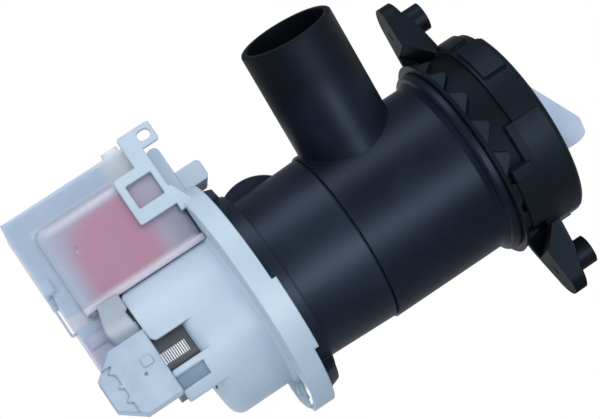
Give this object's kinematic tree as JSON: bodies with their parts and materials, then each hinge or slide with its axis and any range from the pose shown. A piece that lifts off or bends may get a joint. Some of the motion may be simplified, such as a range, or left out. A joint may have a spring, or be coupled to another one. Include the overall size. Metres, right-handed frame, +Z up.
{
  "type": "washer drain pump",
  "caption": "Washing machine drain pump: black filter housing with slanted inlet and screw ears, volute with outlet, white twist-lock motor with milky coil cover, plug and pull-out filter.",
  "frame": {"origin": "on the pump axis, in the plane of the two screw bosses' seats", "axes": "+X along the pump axis toward the filter cap, +Z up through the upper ear, +Y toward the outlet"},
  "size_m": [0.216, 0.1283, 0.1549],
  "materials": {
    "black_plastic": "satin",
    "white_plastic": "satin",
    "milky_plastic": "satin",
    "milky_cover": "satin, translucent",
    "core_steel": "laminated edges",
    "winding_tape": "satin tape",
    "contact_brass": "bright",
    "bush_bronze": "sintered",
    "seal_rubber": "matt",
    "shaft_steel": "ground",
    "ferrite": "matt"
  },
  "bodies": {
    "housing": {"filter_housing": "black_plastic", "mounting_collar": "black_plastic", "volute_casing": "black_plastic", "motor_frame": "white_plastic", "stator_core": "core_steel", "core_yoke": "core_steel", "near_bobbin": "milky_plastic", "far_bobbin": "milky_plastic", "near_coil": "winding_tape", "far_coil": "winding_tape", "motor_cover": "milky_cover", "connector_housing": "milky_plastic", "terminal_tabs": "contact_brass", "bearing_cap": "black_plastic", "cap_o_ring": "seal_rubber", "front_bush": "bush_bronze", "rear_bush": "bush_bronze", "shaft_seal": "seal_rubber", "flange_seal": "seal_rubber"},
    "rotor": {"rotor_shaft": "shaft_steel", "rotor_sleeve": "white_plastic", "rotor_magnet": "ferrite", "drive_dog": "white_plastic"},
    "impeller": {"impeller": "black_plastic"},
    "filter_seal": {"filter_seal": "seal_rubber"},
    "filter": {"filter_cap": "white_plastic", "filter_basket": "white_plastic"}
  },
  "joints": [
    {"name": "rotor_spin", "type": "hinge", "parent": "housing", "child": "rotor", "pos_m": [-0.15, 0, 0], "axis": [1, 0, 0], "continuous": true},
    {"name": "impeller_play", "type": "hinge", "parent": "rotor", "child": "impeller", "pos_m": [-0.1, 0, 0], "axis": [1, 0, 0], "range_deg": [0, 250]},
    {"name": "filter_draw", "type": "slide", "parent": "housing", "child": "filter_seal", "axis": [1, 0, 0], "range_m": [0, 0.1]},
    {"name": "filter_turn", "type": "hinge", "parent": "filter_seal", "child": "filter", "pos_m": [0, 0, 0], "axis": [1, 0, 0], "range_deg": [0, 90]}
  ]
}
